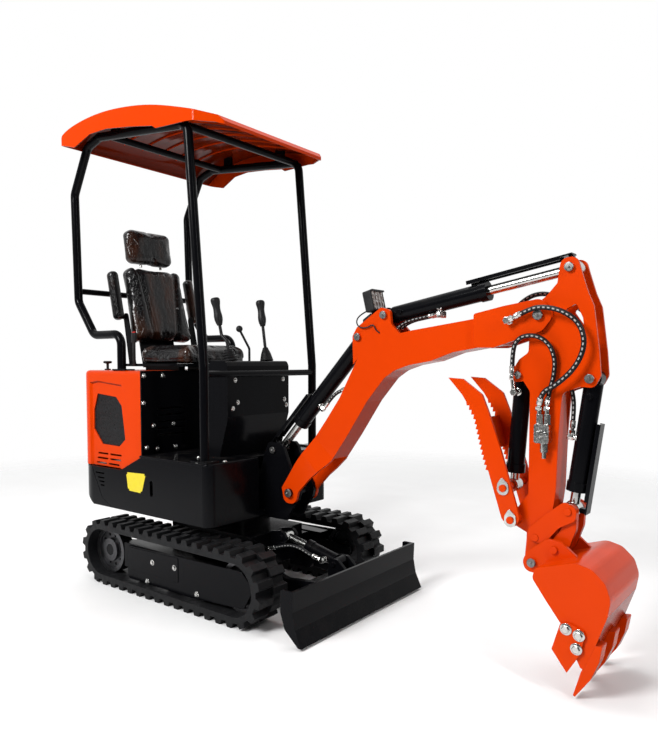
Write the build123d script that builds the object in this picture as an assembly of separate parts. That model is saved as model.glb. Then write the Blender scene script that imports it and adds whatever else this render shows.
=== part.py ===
"""Mini excavator with canopy, dozer blade, bucket and hydraulic thumb.

Millimetres. X forward, Y left, Z up. The origin is on the ground under the slew axis.
"""
import math
import os

from build123d import *

os.makedirs("parts", exist_ok=True)

# Fits
PIN_CLEAR = 0.06
BODY_GAP = 5.0

# Tracks
TRACK_GAUGE = 780.0
SHOE_W = 180.0
TRACK_LEN = 1320.0
TRACK_H = 340.0
LUG_H = 24.0
LUG_COUNT = 40
LUG_BASE = 46.0
LUG_TOP = 28.0
BELT_T = 26.0
WHEEL_GAP = 0.3
TRACK_R = TRACK_H / 2
WHEEL_X = TRACK_LEN / 2 - TRACK_R
BELT_R = TRACK_R - LUG_H
BELT_IN_R = BELT_R - BELT_T
WHEEL_R = BELT_IN_R - WHEEL_GAP
COVER_OUT = 50.0
COVER_T = 8.0
BEAM_W = 2 * (COVER_OUT - COVER_T)
ROLLER_R = 40.0
ROLLER_Z = TRACK_R - BELT_IN_R + WHEEL_GAP + ROLLER_R
AXLE_R = 14.0

# Carbody and slew ring
CAR_Z0 = 150.0
CAR_TOP = 318.0
RING_R = 205.0
RING_BORE = 150.0
HOUSE_Z = 405.0
RING_SPLIT = 375.0
RING_GAP = 0.5
SPIGOT = 25.0

# Blade
BLADE_W = 960.0
BLADE_PIVOT = (430.0, 150.0)
BLADE_PIN_R = 15.0
BLADE_CYL_REAR = (396.0, 300.0)
BLADE_CYL_FRONT = (722.0, 226.0)
BLADE_ARM_Y = 170.0

# House
HOUSE_HALF = 440.0
HOUSE_FRONT = 305.0
HOUSE_REAR = -760.0
TAIL_R = 150.0
FLOOR_Z = 700.0
FLOOR_T = 10.0
COWL_T = 8.0
BONNET_INSET = 12.0
BONNET_HALF = HOUSE_HALF - BONNET_INSET
BONNET_REAR = -735.0
BONNET_R = 80.0
BONNET_TOP = 1125.0
BONNET_T = 6.0
BULK_X = -205.0
WEIGHT_INSET = 55.0
SEAM = 3.0
BASE_T = 25.0
RECESS = 10.0
TOP_R = 22.0
SLOT_H = 9.0
SILL_R = 8.0

# King post and boom
POST_IN = 44.0
POST_OUT = 62.0
FOOT_IN = POST_OUT + BODY_GAP
FOOT_OUT = FOOT_IN + 14.0
BOX_OUT = 60.0
PLATE_T = 12.0
FORK_T = 15.0
LAMP_W = 104.0
LAMP_H = 94.0
BOOM_FOOT = (482.0, 539.0)
POST_CYL = (358.0, 735.0)
BOOM_CYL = (869.0, 1281.0)
ARM_CYL_BASE = (1005.0, 1372.0)
ARM_PIVOT = (1692.0, 1343.0)
FOOT_PIN_R = 20.0
ARM_PIN_R = 18.0

# Arm, links, bucket and thumb
ARM_HALF = BOX_OUT - BODY_GAP
ARM_PLATE = 11.0
ARM_CYL_EYE = (1796.0, 1511.0)
BUCKET_CYL_BASE = (1875.0, 1111.0)
THUMB_CYL_BASE = (1610.0, 1121.0)
ROCKER_PIVOT = (1689.0, 512.0)
BUCKET_PIVOT = (1688.0, 423.0)
ROCKER_END = (1809.0, 626.0)
LINK_END = (1769.0, 484.0)
THUMB_PIVOT = (1608.0, 574.0)
THUMB_CYL_EYE = (1577.0, 692.0)
LINK_PIN_R = 14.0
ROCKER_IN = ARM_HALF + 3.0
ROCKER_T = 10.0
EAR_IN = 74.0
EAR_T = 14.0
BUCKET_W = 380.0
BUCKET_T = 12.0
TOOTH_COUNT = 3
TOOTH_W = 56.0
CUTTER_T = 10.0
THUMB_IN = 93.0
THUMB_T = 12.0
THUMB_TEETH = 14
THUMB_TOOTH = 5.0
WASHER_T = 5.0

# Cylinders
CYL_PIN_R = 16.0
EYE_HALF = 26.0
KNUCKLE_HALF = 28.0
GUARD_OUT = 14.0
GUARD_T = 6.0
GUARD_HALF = 26.0

# Canopy and seat
TUBE_R = 22.5
POST_INSET = 44.0
POST_Y = HOUSE_HALF - POST_INSET
RAIL_FRONT = (50.0, 2284.0)
RAIL_REAR = (-560.0, 2349.0)
CROSS_R = 18.0
ROOF_REAR = -722.0
ROOF_FRONT = 335.0
ROOF_OUT = 95.0
ROOF_HALF = HOUSE_HALF + ROOF_OUT
ROOF_NECK = (215.0, HOUSE_HALF - 6)
ROOF_NOSE = HOUSE_HALF - 88
ROOF_T = 6.0
RIB_T = 8.0
RIB_W = 44.0
SEAT_HALF = 225.0
SEAT_Z = BONNET_TOP + 20
HEAD_W = 325.0
BACK_T = 92.0


def ring(points, y):
    """Closed wire in the plane at y from (x, z) or (x, z, corner radius) points."""
    n = len(points)
    marks = []
    for i, p in enumerate(points):
        here = Vector(p[0], y, p[1])
        radius = p[2] if len(p) > 2 else 0
        if radius == 0:
            marks.append((here, None, here))
            continue
        a = points[i - 1]
        b = points[(i + 1) % n]
        da = (Vector(a[0], y, a[1]) - here).normalized()
        db = (Vector(b[0], y, b[1]) - here).normalized()
        half = math.acos(max(-1, min(1, da.dot(db)))) / 2
        reach = radius / math.tan(half)
        mid = here + (da + db).normalized() * (radius / math.sin(half) - radius)
        marks.append((here + da * reach, mid, here + db * reach))
    edges = []
    for i, (start, mid, end) in enumerate(marks):
        if mid is not None:
            edges.append(ThreePointArc(start, mid, end))
        nxt = marks[(i + 1) % n][0]
        if (nxt - end).length > 1e-4:
            edges.append(Line(end, nxt))
    return Wire(edges)


def slab(points, y0, y1):
    """Side profile in X and Z, extruded from y0 to y1."""
    return extrude(Face(ring(points, y0)), amount=y1 - y0, dir=(0, 1, 0))


def pair(points, inner, outer):
    """The same side profile on both sides of the centre plane."""
    return [slab(points, inner, outer), slab(points, -outer, -inner)]


def block(x0, x1, y0, y1, z0, z1):
    return Pos((x0 + x1) / 2, (y0 + y1) / 2, (z0 + z1) / 2) * Box(x1 - x0, y1 - y0, z1 - z0)


def pin(at, radius, y0, y1):
    """Round bar along Y."""
    return Pos(at[0], (y0 + y1) / 2, at[1]) * Rot(90, 0, 0) * Cylinder(radius, y1 - y0)


def post(x, y, radius, z0, z1):
    """Round bar along Z."""
    return Pos(x, y, (z0 + z1) / 2) * Cylinder(radius, z1 - z0)


def plan(points, z0, z1):
    """Plan outline of (x, y, corner radius) points, extruded from z0 to z1."""
    flat = ring(points, 0)
    turned = flat.rotate(Axis.X, -90)
    return Pos(0, 0, z0) * extrude(Face(turned), amount=z1 - z0, dir=(0, 0, 1))


def tube(points, radius, bend):
    """Round bar through the points, with bends of one radius."""
    path = FilletPolyline(*points, radius=bend) if len(points) > 2 else Line(*points)
    start = Plane(origin=path @ 0, z_dir=path % 0)
    return sweep(start * Circle(radius), path=path)


def fuse(parts):
    whole = parts[0]
    for p in parts[1:]:
        whole = whole + p
    return whole


def save(name, *solids):
    found = []
    for s in solids:
        found.extend(s.solids())
    export_step(Compound(children=found) if len(found) > 1 else found[0], f"parts/{name}.step")


def dist(a, b):
    return math.hypot(b[0] - a[0], b[1] - a[1])


def along(base, eye):
    """Places a part drawn along +Z from the base pin so that it points at the eye pin."""
    turn = math.degrees(math.atan2(eye[0] - base[0], eye[1] - base[1]))
    return Pos(base[0], 0, base[1]) * Rot(0, turn, 0)


def shrink(points, amount):
    """Convex outline with every side moved inward by an amount."""
    n = len(points)
    mid = (sum(p[0] for p in points) / n, sum(p[1] for p in points) / n)
    sides = []
    for i in range(n):
        a, b = points[i], points[(i + 1) % n]
        nx, nz = (b[1] - a[1]) / dist(a, b), (a[0] - b[0]) / dist(a, b)
        if (mid[0] - a[0]) * nx + (mid[1] - a[1]) * nz < 0:
            nx, nz = -nx, -nz
        sides.append((nx, nz, nx * a[0] + nz * a[1] + amount))
    moved = []
    for i in range(n):
        (a, b, c), (e, f, g) = sides[i - 1], sides[i]
        det = a * f - b * e
        moved.append(((c * f - b * g) / det, (a * g - c * e) / det))
    return moved


def sunk(points, y, depth):
    """Field with sloping sides, sunk by a depth from the face at y towards the centre plane."""
    side = math.copysign(1, y)
    mouth = Face(ring(shrink(points, -1), y + side))
    bed = Face(ring(shrink(points, depth), y - side * depth))
    return loft([mouth, bed], ruled=True)


# Tracks and their wheels


def loop_point(s, radius):
    """Point at pitch length s round the loop, at a radius from the wheel centres."""
    run = 2 * WHEEL_X
    bend = math.pi * BELT_R
    s = s % (2 * run + 2 * bend)
    if s < run:
        return (-WHEEL_X + s, TRACK_R + radius)
    s -= run
    if s < bend:
        a = math.pi / 2 - s / BELT_R
        return (WHEEL_X + radius * math.cos(a), TRACK_R + radius * math.sin(a))
    s -= bend
    if s < run:
        return (WHEEL_X - s, TRACK_R - radius)
    s -= run
    a = -math.pi / 2 - s / BELT_R
    return (-WHEEL_X + radius * math.cos(a), TRACK_R + radius * math.sin(a))


def stadium(radius):
    return [(-WHEEL_X - radius, TRACK_R - radius, radius), (WHEEL_X + radius, TRACK_R - radius, radius),
            (WHEEL_X + radius, TRACK_R + radius, radius), (-WHEEL_X - radius, TRACK_R + radius, radius)]


def lug_outline(shift):
    pitch = (4 * WHEEL_X + 2 * math.pi * BELT_R) / LUG_COUNT
    points = []
    for i in range(LUG_COUNT):
        mid = (i + shift) * pitch
        points.append(loop_point(mid - LUG_BASE / 2, BELT_R))
        points.append(loop_point(mid - LUG_TOP / 2, TRACK_R))
        points.append(loop_point(mid + LUG_TOP / 2, TRACK_R))
        points.append(loop_point(mid + LUG_BASE / 2, BELT_R))
    return points


def make_track(side):
    mid = side * TRACK_GAUGE / 2
    inside = slab(stadium(BELT_IN_R), mid - SHOE_W, mid + SHOE_W)
    a = slab(lug_outline(0.25), mid - SHOE_W / 2, mid)
    b = slab(lug_outline(0.75), mid, mid + SHOE_W / 2)
    return (a + b) - inside


def wheel(x, z, mid, radius, width, hub_r, holes):
    disc = pin((x, z), radius, mid - width / 2, mid + width / 2)
    cut = pin((x, z), radius - 22, mid - width, mid - width / 4)
    cut = cut + pin((x, z), radius - 22, mid + width / 4, mid + width)
    hub = pin((x, z), hub_r, mid - width / 2 - 2, mid + width / 2 + 2)
    body = (disc - cut) + hub
    for i in range(holes):
        a = 2 * math.pi * i / holes
        r = (hub_r + radius - 22) / 2
        body = body - pin((x + r * math.cos(a), z + r * math.sin(a)), 8, mid - width, mid + width)
    return body


def make_undercarriage():
    sprockets, idlers, rollers = [], [], []
    for side, label in ((1, "left"), (-1, "right")):
        mid = side * TRACK_GAUGE / 2
        save(f"track_{label}", make_track(side))
        beam_in = mid - BEAM_W / 2
        beam_out = mid + BEAM_W / 2
        beam = slab([(-350, 110), (-350, 235), (330, 235), (330, 110)], beam_in, beam_out)
        motor = pin((-WHEEL_X, TRACK_R), 62, *sorted((mid - side * 70, mid - side * 38)))
        rear_arm = slab([(-WHEEL_X - 40, 130), (-WHEEL_X - 40, 210), (-340, 225), (-340, 120)],
                        *sorted((mid - side * 62, mid - side * 36)))
        rear_axle = pin((-WHEEL_X, TRACK_R), 30, *sorted((mid - side * 60, mid + side * 34)))
        fork = fuse(pair([(320, 140), (320, 205), (WHEEL_X + 30, 195), (WHEEL_X + 30, 145)], 34, BEAM_W / 2))
        fork = Pos(0, mid, 0) * fork
        front_axle = pin((WHEEL_X, TRACK_R), 18, mid - BEAM_W / 2, mid + BEAM_W / 2)
        frame = fuse([beam, motor, rear_arm, rear_axle, fork, front_axle])
        for x in (-230, 0, 230):
            frame = frame - pin((x, ROLLER_Z), AXLE_R, mid - 80, mid + 80)
        frame = frame - block(-320, 320, mid - 36, mid + 36, 60, 140)
        sprocket = wheel(-WHEEL_X, TRACK_R, mid, WHEEL_R, 64, 60, 10)
        sprockets.append(sprocket - pin((-WHEEL_X, TRACK_R), 30, mid - 40, mid + 40))
        idler = wheel(WHEEL_X, TRACK_R, mid, WHEEL_R, 60, 40, 0)
        idlers.append(idler - pin((WHEEL_X, TRACK_R), 18, mid - 60, mid + 60))
        for x in (-230, 0, 230):
            at = (x, ROLLER_Z)
            axle = pin(at, AXLE_R, mid - BEAM_W / 2, mid + BEAM_W / 2)
            rollers.append(pin(at, ROLLER_R, mid - 34, mid + 34) + axle)
        save(f"track_frame_{label}", frame)
        c0, c1 = sorted((mid + side * (COVER_OUT - COVER_T), mid + side * COVER_OUT))
        cover = slab([(-312, 58, 20), (-312, 227, 12), (509, 246, 40), (584, 179, 30), (524, 80, 30),
                      (179, 58, 40)],
                     c0, c1)
        hatch = slab([(-300, 110, 8), (-300, 221, 8), (85, 230, 8), (85, 110, 8)],
                     *sorted((mid + side * (COVER_OUT - 1), mid + side * (COVER_OUT + 3))))
        save(f"track_cover_{label}", cover + hatch)
    save("sprockets", *sprockets)
    save("idlers", *idlers)
    save("track_rollers", *rollers)

    body = block(-260, 330, -190, 190, CAR_Z0, CAR_TOP)
    legs = []
    for x in (-210, 130):
        legs.append(block(x, x + 120, -TRACK_GAUGE / 2 + BEAM_W / 2, TRACK_GAUGE / 2 - BEAM_W / 2, 170, 230))
    lugs = []
    for y in (-1, 1):
        y0, y1 = sorted((y * 130, y * (BLADE_ARM_Y - 12)))
        lugs.append(slab([(300, 110), (300, 200), (430, 185, 20), (466, 150, 20), (430, 112, 20)], y0, y1))
        p0, p1 = sorted((y * 130, y * (BLADE_ARM_Y + 30)))
        lugs.append(pin(BLADE_PIVOT, BLADE_PIN_R, p0, p1))
    tower = pair([(300, 250), (310, 318), (396, 336, 30), (434, 300, 24), (400, 250)], EYE_HALF + 6,
                 EYE_HALF + 22)
    for y in (-1, 1):
        tower.append(pin(BLADE_CYL_REAR, CYL_PIN_R - 4, *sorted((y * (EYE_HALF + 5), y * (EYE_HALF + 30)))))
    low_ring = post(0, 0, RING_R, CAR_TOP, RING_SPLIT) - post(0, 0, RING_BORE, CAR_TOP - 1, RING_SPLIT + 1)
    tie = slab([(-330, 190), (-330, 250, 20), (-255, 250),
                (-255, 190)], -10, 10) - pin((-300, 220), 20, -20, 20)
    save("carbody", fuse([body] + legs + lugs + tower + [low_ring, tie]))


def make_blade():
    back = [(832, 235), (846, 235), (842, 150), (856, 80), (889, 10), (872, 10), (842, 78), (828, 150),
            (820, 225)]
    board = slab(back, -BLADE_W / 2, BLADE_W / 2)
    ends = pair([(846, 235), (780, 235, 10), (776, 140), (800, 70), (872, 10), (889, 10), (856, 80),
                 (842, 150)],
                BLADE_W / 2 - 10, BLADE_W / 2)
    arms = []
    for y in (-1, 1):
        y0, y1 = sorted((y * (BLADE_ARM_Y - 8), y * (BLADE_ARM_Y + 22)))
        arm = slab([(400, 150, 28), (430, 186, 28), (560, 160), (836, 190), (836, 70), (560, 105),
                    (430, 114, 28)],
                   y0, y1)
        arms.append(arm - pin(BLADE_PIVOT, BLADE_PIN_R + PIN_CLEAR, y0 - 1, y1 + 1))
    cross = slab([(660, 95), (660, 165), (700, 165), (700, 95)], -BLADE_ARM_Y, BLADE_ARM_Y)
    lugs = pair([(690, 150), (692, 248, 20), (742, 252, 20), (826, 180), (826, 110)], EYE_HALF + 6,
                EYE_HALF + 22)
    lugs.append(pin(BLADE_CYL_FRONT, CYL_PIN_R - 4, -EYE_HALF - 30, EYE_HALF + 30))
    save("blade", fuse([board] + ends + arms + [cross] + lugs))


# Cylinders


def make_cylinder(name, base, eye, reach, barrel_r, rod_r, knuckle_r, pin_r, inset, guard):
    """Barrel from the base pin and rod to the eye pin. inset is where the rod ends inside.

    guard is the side of the rod's cover and its length, or None.
    """
    length = dist(base, eye)
    put = along(base, eye)
    knuckle = pin((0, 0), knuckle_r, -KNUCKLE_HALF, KNUCKLE_HALF)
    barrel = post(0, 0, barrel_r, knuckle_r * 0.6, reach) + post(0, 0, barrel_r + 4, reach - 34, reach)
    barrel = barrel + knuckle - pin((0, 0), pin_r + PIN_CLEAR, -KNUCKLE_HALF - 1, KNUCKLE_HALF + 1)
    barrel = barrel - post(0, 0, rod_r + PIN_CLEAR, knuckle_r + 4, reach + 1)
    port = Pos(0, -barrel_r, knuckle_r + 34) * Rot(90, 0, 0) * Cylinder(11, 22)
    barrel = barrel + port
    rod = post(0, 0, rod_r, inset, length) + pin((0, length), knuckle_r - 4, -EYE_HALF, EYE_HALF)
    save(f"{name}_barrel", put * barrel)
    save(f"{name}_rod", put * rod)
    if guard:
        side, reach = guard
        face = side * (barrel_r + GUARD_OUT)
        plate = block(*sorted((face, face + side * GUARD_T)), -GUARD_HALF, GUARD_HALF, length - reach,
                      length + 6)
        for y in (-1, 1):
            lip = sorted((y * (GUARD_HALF - GUARD_T), y * GUARD_HALF))
            plate = plate + block(*sorted((face, face - side * 9)), *lip, length - reach, length - 40)
        tab = block(*sorted((0, face)), -12, 12, length - 12, length + 6)
        save(f"{name}_guard", put * (plate + tab - rod))


def make_cylinders():
    make_cylinder("boom_cylinder", BOOM_CYL, POST_CYL, 560, 38, 20, 34, CYL_PIN_R, 156, (1, 330))
    make_cylinder("arm_cylinder", ARM_CYL_BASE, ARM_CYL_EYE, 465, 36, 19, 34, CYL_PIN_R, 300, (-1, 420))
    make_cylinder("bucket_cylinder", BUCKET_CYL_BASE, ROCKER_END, 420, 34, 18, 32, CYL_PIN_R, 62, (-1, 330))
    make_cylinder("thumb_cylinder", THUMB_CYL_BASE, THUMB_CYL_EYE, 380, 33, 17, 30, LINK_PIN_R, 50, None)
    ends = (BLADE_CYL_FRONT, BLADE_CYL_REAR)
    make_cylinder("blade_cylinder", *ends, 195, 30, 17, 26, CYL_PIN_R - 4, 100, None)


# House


def house_plan(inset):
    h, f, r = HOUSE_HALF - inset, HOUSE_FRONT - inset, HOUSE_REAR + inset
    return [(r, -h, TAIL_R - inset), (f, -h, 45 - inset), (f, h, 45 - inset), (r, h, TAIL_R - inset)]


def bonnet_plan(inset):
    h, r = BONNET_HALF - inset, BONNET_REAR + inset
    return [(r, -h, BONNET_R - inset), (BULK_X, -h, 0), (BULK_X, h, 0), (r, h, BONNET_R - inset)]


def seam_line(drop):
    """Side profile under the bonnet's lower edge, lowered by drop."""
    return [(-900, 300), (-900, 615 - drop), (-362, 615 - drop), (-195, 693 - drop), (400, 693 - drop),
            (400, 300)]


def make_house():
    post_side = [(277, 640), (300, 720), (328, 772, 14), (407, 772, 14), (425, 755), (468, 655),
                 (520, 575, 20),
                 (530, 540), (520, 505, 20), (478, 455), (447, 396), (277, 396)]
    plates = pair(post_side, POST_IN, POST_OUT)
    webs = pair([(-230, HOUSE_Z), (-230, 520), (290, 640), (290, HOUSE_Z)], POST_IN, POST_OUT)
    tail = slab([(-820, 532), (-600, 400), (-600, 380), (-820, 380)], -HOUSE_HALF - 60, HOUSE_HALF + 60)
    base = plan(house_plan(COWL_T), HOUSE_Z, HOUSE_Z + BASE_T) - tail
    tie = slab([(290, 410), (290, 620), (310, 620), (310, 410)], -POST_IN, POST_IN)
    foot_pin = pin(BOOM_FOOT, FOOT_PIN_R, -FOOT_OUT - 12, FOOT_OUT + 12)
    stubs = []
    for y in (-1, 1):
        y0, y1 = sorted((y * (EYE_HALF + 5), y * (POST_OUT + 6)))
        stubs.append(pin(POST_CYL, CYL_PIN_R, y0, y1))
    top_ring = post(0, 0, RING_R - 5, RING_SPLIT + RING_GAP, HOUSE_Z + 1)
    top_ring = top_ring + post(0, 0, RING_BORE - PIN_CLEAR, RING_SPLIT - SPIGOT, HOUSE_Z)
    save("platform", fuse([base] + plates + webs + [tie, foot_pin] + stubs + [top_ring]))

    cowl = plan(house_plan(0), HOUSE_Z, FLOOR_Z - FLOOR_T) - plan(house_plan(COWL_T), HOUSE_Z - 1, FLOOR_Z)
    cowl = (cowl & slab(seam_line(SEAM), -HOUSE_HALF - 60, HOUSE_HALF + 60)) - tail
    cowl = cowl - block(200, 400, -FOOT_OUT - 30, FOOT_OUT + 30, 300, 800)
    joint = [(-614, 607), (-601, 577), (-564, 513), (-528, 449), (-429, 402)]
    joint = [(x - SEAM, z) for x, z in joint] + [(x + SEAM, z) for x, z in reversed(joint)]
    cuts = pair(joint, HOUSE_HALF - SEAM, HOUSE_HALF + 1)
    for x, z in ((-585, 575), (-566, 551), (-552, 531), (-540, 511)):
        louvre = [(x, z, 4), (x, z + SLOT_H, 4), (-505, z + SLOT_H, 4), (-505, z, 4)]
        cuts.extend(pair(louvre, HOUSE_HALF - COWL_T - 1, HOUSE_HALF + 1))
    grip = [(-124, 503, 10), (-124, 583, 10), (-100, 583, 10), (-100, 503, 10)]
    cuts.extend(pair(grip, HOUSE_HALF - COWL_T - 1, HOUSE_HALF + 1))
    for cut in cuts:
        cowl = cowl - cut
    save("cowl", cowl)

    half = HOUSE_HALF - WEIGHT_INSET
    weight = plan([(-748, -half, 85), (-635, -half, 12), (-635, half, 12), (-748, half, 85)],
                  HOUSE_Z + BASE_T, 605)
    save("counterweight", weight - tail)

    floor = plan([(BULK_X, -HOUSE_HALF, 0), (HOUSE_FRONT, -HOUSE_HALF, 45), (HOUSE_FRONT, HOUSE_HALF, 45),
                  (BULK_X, HOUSE_HALF, 0)], FLOOR_Z - FLOOR_T, FLOOR_Z)
    floor = floor - block(255, 400, -FOOT_OUT - 30, FOOT_OUT + 30, 600, 800)
    sill = [e for e in floor.edges().group_by(Axis.Z)[-1] if e.center().X > BULK_X + 1]
    save("floor", fillet(sill, SILL_R))

    make_bonnet()

    wall = block(BULK_X, BULK_X + 8, -BONNET_HALF, BONNET_HALF, FLOOR_Z, BONNET_TOP)
    for i in range(5):
        z = 790 + 34 * i
        for y in (-330, 150):
            wall = wall - block(BULK_X - 1, BULK_X + 20, y, y + 180, z, z + 10)
    save("bulkhead", wall)

    engine = block(-620, -260, -190, 190, HOUSE_Z + 80, 900) + block(-560, -330, -120, 120, 880, 1010)
    feet = [block(x, x + 60, y, y + 60, HOUSE_Z + BASE_T, HOUSE_Z + 90)
            for x in (-540, -330) for y in (-180, 120)]
    save("engine", fuse([engine] + feet))


def round_top(body, radius):
    """Rounds the upper rim, except along the bulkhead."""
    rim = [e for e in body.faces().sort_by(Axis.Z)[-1].edges() if e.center().X < BULK_X - 1]
    return fillet(rim, radius)


def make_bonnet():
    shell = round_top(plan(bonnet_plan(0), 560, BONNET_TOP), TOP_R)
    hollow = round_top(plan(bonnet_plan(BONNET_T), 500, BONNET_TOP - BONNET_T), TOP_R - BONNET_T)
    field = [(-645, 596), (-645, 1060), (-575, 1070), (-367, 1052), (-332, 1016), (-309, 772), (-388, 596)]
    window = [(-587, 1001), (-423, 987), (-376, 942), (-348, 769), (-400, 729), (-550, 732), (-625, 810),
              (-622, 909)]
    back = BONNET_HALF - RECESS - BONNET_T
    bonnet = fuse([shell - hollow] + pair(shrink(field, -8), back, BONNET_HALF - BONNET_T / 2))
    for y in (-1, 1):
        bonnet = bonnet - sunk(field, y * BONNET_HALF, RECESS)
    cuts = pair(window, back - 20, BONNET_HALF + 20)
    for z, spans in ((677, ((-590, -500), (-482, -384))), (651, ((-598, -501), (-484, -390))),
                     (625, ((-605, -515), (-496, -403)))):
        for x0, x1 in spans:
            slot = [(x0, z, 3), (x0, z + SLOT_H, 3), (x1, z + SLOT_H, 3), (x1, z, 3)]
            cuts.extend(pair(slot, back - 20, BONNET_HALF + 20))
    for i in range(6):
        z = 745 + 30 * i
        cuts.append(block(BONNET_REAR - 20, BONNET_REAR + 20, -190, 190, z, z + SLOT_H))
    cuts.append(slab(seam_line(0), -HOUSE_HALF - 60, HOUSE_HALF + 60))
    for cut in cuts:
        bonnet = bonnet - cut
    save("bonnet", bonnet)
    save("bonnet_screens", *pair(shrink(window, -10), back - 4, back))
    cap = [(0, 0), (17, 0), (17, 6), (7, 8), (7, 34), (22, 38), (24, 46), (18, 50), (0, 50)]
    turned = revolve(Face(Wire.make_polygon([Vector(r, 0, z) for r, z in cap], close=True)), axis=Axis.Z)
    save("bonnet_cap", Pos(-666, -300, BONNET_TOP) * turned)


def make_controls():
    side = [(60, FLOOR_Z), (60, 1140, 20), (90, 1175, 20), (196, 1175, 20), (209, 1150), (209, 900),
            (150, FLOOR_Z)]
    inner = [(66, FLOOR_Z - 5), (66, 1138), (92, 1169), (190, 1169), (203, 1148), (203, 902),
             (144, FLOOR_Z - 5)]
    console = slab(side, -225, 225) - slab(inner, -219, 219)
    save("console", console)
    levers = []
    fold = [(0, 0), (38, 0), (38, 6), (31, 11), (35, 18), (28, 24), (32, 31), (25, 37), (28, 44), (21, 50),
            (23, 57),
            (11, 64), (0, 64)]
    plain = [(0, 0), (36, 0), (34, 8), (26, 40), (13, 72), (0, 72)]
    for y, sleeve, back in ((-1, fold, 30), (1, plain, 0)):
        boot = revolve(Face(Wire.make_polygon([Vector(r, 0, z) for r, z in sleeve], close=True)), axis=Axis.Z)
        bar = [(0, 0, 40), (0, 0, 100), (-back, 0, 140), (-back, 0, 215)] if back else [(0, 0, 40),
                                                                                        (0, 0, 215)]
        girths = ((0, 13), (12, 17), (50, 21), (95, 19), (128, 24), (140, 18))
        grip = Pos(-back, 0, 190) * loft([Pos(0, 0, z) * Circle(r) for z, r in girths])
        lever = Pos(135, y * 133, 1175) * Rot(y * -3, -11, 0) * (boot + tube(bar, 8, 25) + grip)
        levers.append(lever - block(0, 300, -400, 400, 1100, 1175))
    knob = tube([(130, 7, 1168), (130, 7, 1239), (130, -60, 1330)], 6, 20) - block(0, 300, -400, 400,
                                                                                   1100, 1175)
    levers.append(knob + Pos(130, -64, 1338) * Sphere(17))
    save("levers", *levers)


def make_canopy():
    front = []
    for y in (-POST_Y, POST_Y):
        front.append(tube([(232, y, FLOOR_Z), (232, y, 1150), (136, y, 2275),
                           (RAIL_FRONT[0], y, RAIL_FRONT[1])],
                          TUBE_R, 60))
        front.append(Pos(232, y, FLOOR_Z + 4) * Box(110, 78, 8))
    front.append(tube([(232, -POST_Y, 1112), (232, POST_Y, 1112)], 16, 0))
    front = fuse(front)
    save("front_frame", front)
    rear = []
    step = BONNET_TOP + 189
    for y in (-POST_Y, POST_Y):
        rear.append(tube([(-400, y, BONNET_TOP), (-400, y, step), (-640, y, step), (-785, y, step + 186),
                          (-803, y, 2085), (-672, y, 2318), (RAIL_REAR[0], y, RAIL_REAR[1])], TUBE_R, 60))
        rear.append(Pos(-400, y * (1 - 10 / POST_Y), BONNET_TOP + 4) * Box(110, 62, 8))
    rear.append(tube([(-794, -POST_Y, 1560), (-794, POST_Y, 1560)], 16, 0))
    rear = fuse(rear)
    save("rear_frame", rear)
    return front + rear


def roof_plan(inset):
    rear, front, half, nose = ROOF_REAR + inset, ROOF_FRONT - inset, ROOF_HALF - inset, ROOF_NOSE - inset
    neck_x, neck = ROOF_NECK[0], ROOF_NECK[1] - inset
    return plan([(rear, -half, 30), (neck_x, -neck, 30), (front, -nose, 15), (front, nose, 15),
                 (neck_x, neck, 30),
                 (rear, half, 30)], 2150, 2500)


def roof_arch(inset):
    """Solid under the roof's arch, moved inward by inset."""
    crest = [(ROOF_REAR, 2292), (-704, 2338), (-658, 2366), (-590, 2386), (-505, 2401), (-374, 2411),
             (-230, 2406),
             (-54, 2383), (85, 2350), (200, 2317), (ROOF_FRONT - 25, 2284)]
    moved = []
    for i, (x, z) in enumerate(crest):
        a, b = crest[max(i - 1, 0)], crest[min(i + 1, len(crest) - 1)]
        run = dist(a, b)
        moved.append((x + (b[1] - a[1]) / run * inset, z - (b[0] - a[0]) / run * inset))
    top = [Vector(x, -700, z) for x, z in moved]
    nose = Vector(ROOF_FRONT - inset, -700, 2257 - inset)
    low = [Vector(ROOF_FRONT - inset, -700, 2150), Vector(moved[0][0], -700, 2150)]
    edges = [Spline(*top), Line(top[-1], nose), Line(nose, low[0]), Line(*low), Line(low[1], top[0])]
    return extrude(Face(Wire(edges)), amount=1400, dir=(0, 1, 0))


def make_roof(posts):
    inner = roof_arch(ROOF_T) & roof_plan(ROOF_T)
    roof = (roof_arch(0) & roof_plan(0)) - inner
    strip = roof_arch(ROOF_T) - roof_arch(ROOF_T + RIB_T)
    for y in (-300, -180, -60, 60, 180, 300):
        roof = roof + (strip & block(-620, 280, y - RIB_W / 2, y + RIB_W / 2, 2270, 2500))
    lip = [(-900, 2100), (-900, 2348), (-596, 2273, 20), (-478, 2320, 40), (-355, 2325), (-192, 2306),
           (-42, 2283),
           (-18, 2268), (173, 2266), (300, 2252), (400, 2220), (400, 2100)]
    roof = roof - slab(lip, -700, 700)
    save("roof", roof)
    rails = []
    for y in (-POST_Y, POST_Y):
        rails.append(tube([(RAIL_FRONT[0], y, RAIL_FRONT[1]), (RAIL_REAR[0], y, RAIL_REAR[1])], TUBE_R, 0))
        for x, z in ((0, 2290), (-420, 2335)):
            rails.append(block(x - 30, x + 30, y - 8, y + 8, z, z + 160) & inner)
    for x, z in ((108, 2277), (-480, 2340)):
        rails.append(tube([(x, -POST_Y, z), (x, POST_Y, z)], CROSS_R, 0))
    save("roof_rails", fuse(rails) - posts)


def pad(w, d, h, r):
    box = Box(d, w, h)
    return fillet(box.edges(), r)


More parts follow.
